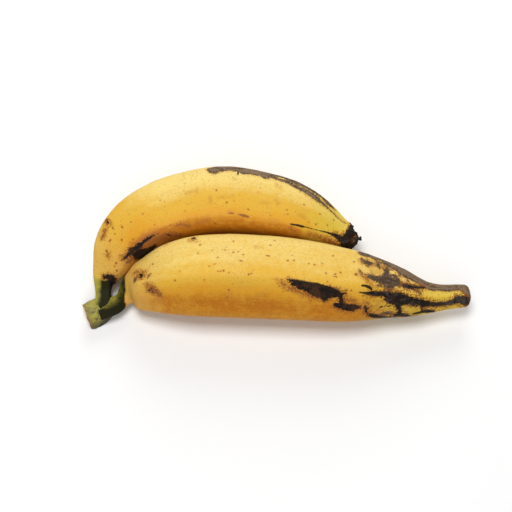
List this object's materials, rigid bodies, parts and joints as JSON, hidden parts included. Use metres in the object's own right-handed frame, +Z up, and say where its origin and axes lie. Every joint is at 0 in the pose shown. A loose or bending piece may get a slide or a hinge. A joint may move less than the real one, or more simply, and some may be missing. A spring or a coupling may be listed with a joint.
{
  "type": "plantain hand",
  "caption": "Ripe curved plantains still joined at a cut green crown, with black-tipped ends, lying on their side; food prop or display fruit.",
  "frame": {"origin": "on the surface that the hand lies on, under the middle of its bounding box", "axes": "+X along the fruits from the crown to the tips, +Z up from the surface, +Y towards the upper fruit's outer curve"},
  "size_m": [0.2527, 0.1039, 0.0504],
  "materials": {
    "peel": "satin waxy yellow peel with brown flecks, black bruises and grey scars",
    "stalk": "matt green ribbed stalk",
    "cut_face": "dried fibrous cream cut with a brown rim"
  },
  "bodies": {
    "root": {"plantain_hand": "peel"}
  },
  "joints": []
}
